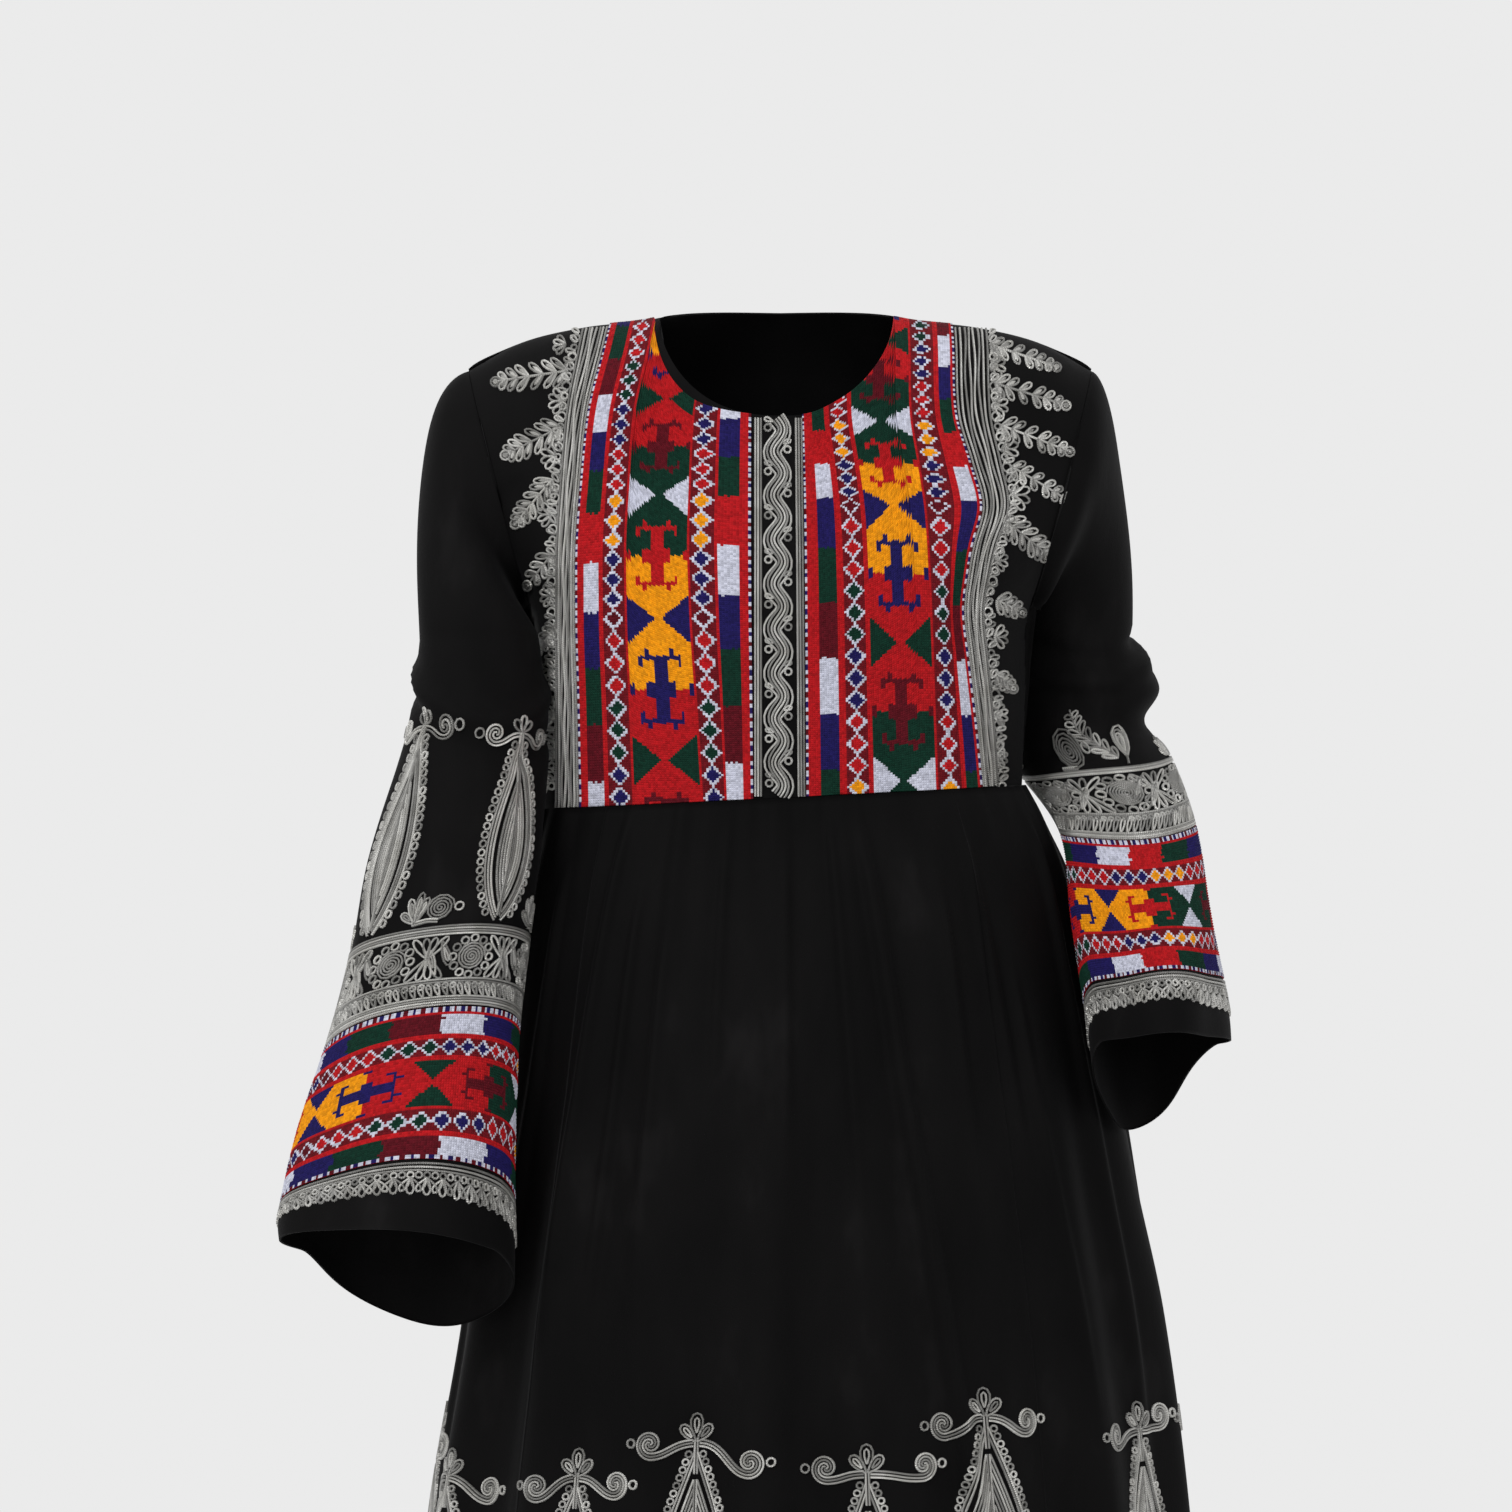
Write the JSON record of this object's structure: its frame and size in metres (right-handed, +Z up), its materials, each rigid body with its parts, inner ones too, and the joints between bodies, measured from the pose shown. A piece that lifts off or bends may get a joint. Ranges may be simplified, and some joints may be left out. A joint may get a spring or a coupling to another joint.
{
  "type": "afghan dress",
  "caption": "Long black velvet dress in the Afghan style with an embroidered bodice, bell sleeves, a gathered skirt and raised silver braid, in its worn form.",
  "frame": {"origin": "midway between the shoulders, at the height where the shoulder seams meet the neck", "axes": "+X to the wearer's left, -Y to the front, +Z up"},
  "size_m": [0.6682, 0.424, 1.3571],
  "materials": {
    "velvet": "deep pile velvet, soft sheen along the folds",
    "embroidery": "dense wool and cotton cross stitch in bright colours",
    "silver_braid": "couched metallic silver braid"
  },
  "bodies": {
    "root": {"bodice_back": "velvet", "bodice_front": "velvet", "cuff_band_left": "embroidery", "cuff_band_right": "embroidery", "cuff_braid_left": "silver_braid", "cuff_braid_right": "silver_braid", "embroidered_panel_left": "embroidery", "embroidered_panel_right": "embroidery", "placket": "silver_braid", "shoulder_border_left": "silver_braid", "shoulder_border_right": "silver_braid", "skirt_back": "velvet", "skirt_front": "velvet", "skirt_left_side": "velvet", "skirt_motif_a": "silver_braid", "skirt_motif_b": "silver_braid", "skirt_motif_c": "silver_braid", "skirt_motif_d": "silver_braid", "skirt_motif_e": "silver_braid", "skirt_motif_f": "silver_braid", "skirt_motif_g": "silver_braid", "skirt_motif_h": "silver_braid", "skirt_motif_i": "silver_braid", "skirt_motif_j": "silver_braid", "skirt_motif_k": "silver_braid", "skirt_motif_l": "silver_braid", "skirt_motif_m": "silver_braid", "skirt_motif_n": "silver_braid", "skirt_right_side": "velvet", "sleeve_braid_left": "silver_braid", "sleeve_braid_right": "silver_braid", "sleeve_left": "velvet", "sleeve_motif_left_1": "silver_braid", "sleeve_motif_left_2": "silver_braid", "sleeve_motif_left_3": "silver_braid", "sleeve_motif_left_4": "silver_braid", "sleeve_motif_right_1": "silver_braid", "sleeve_motif_right_2": "silver_braid", "sleeve_motif_right_3": "silver_braid", "sleeve_motif_right_4": "silver_braid", "sleeve_right": "velvet"}
  },
  "joints": []
}
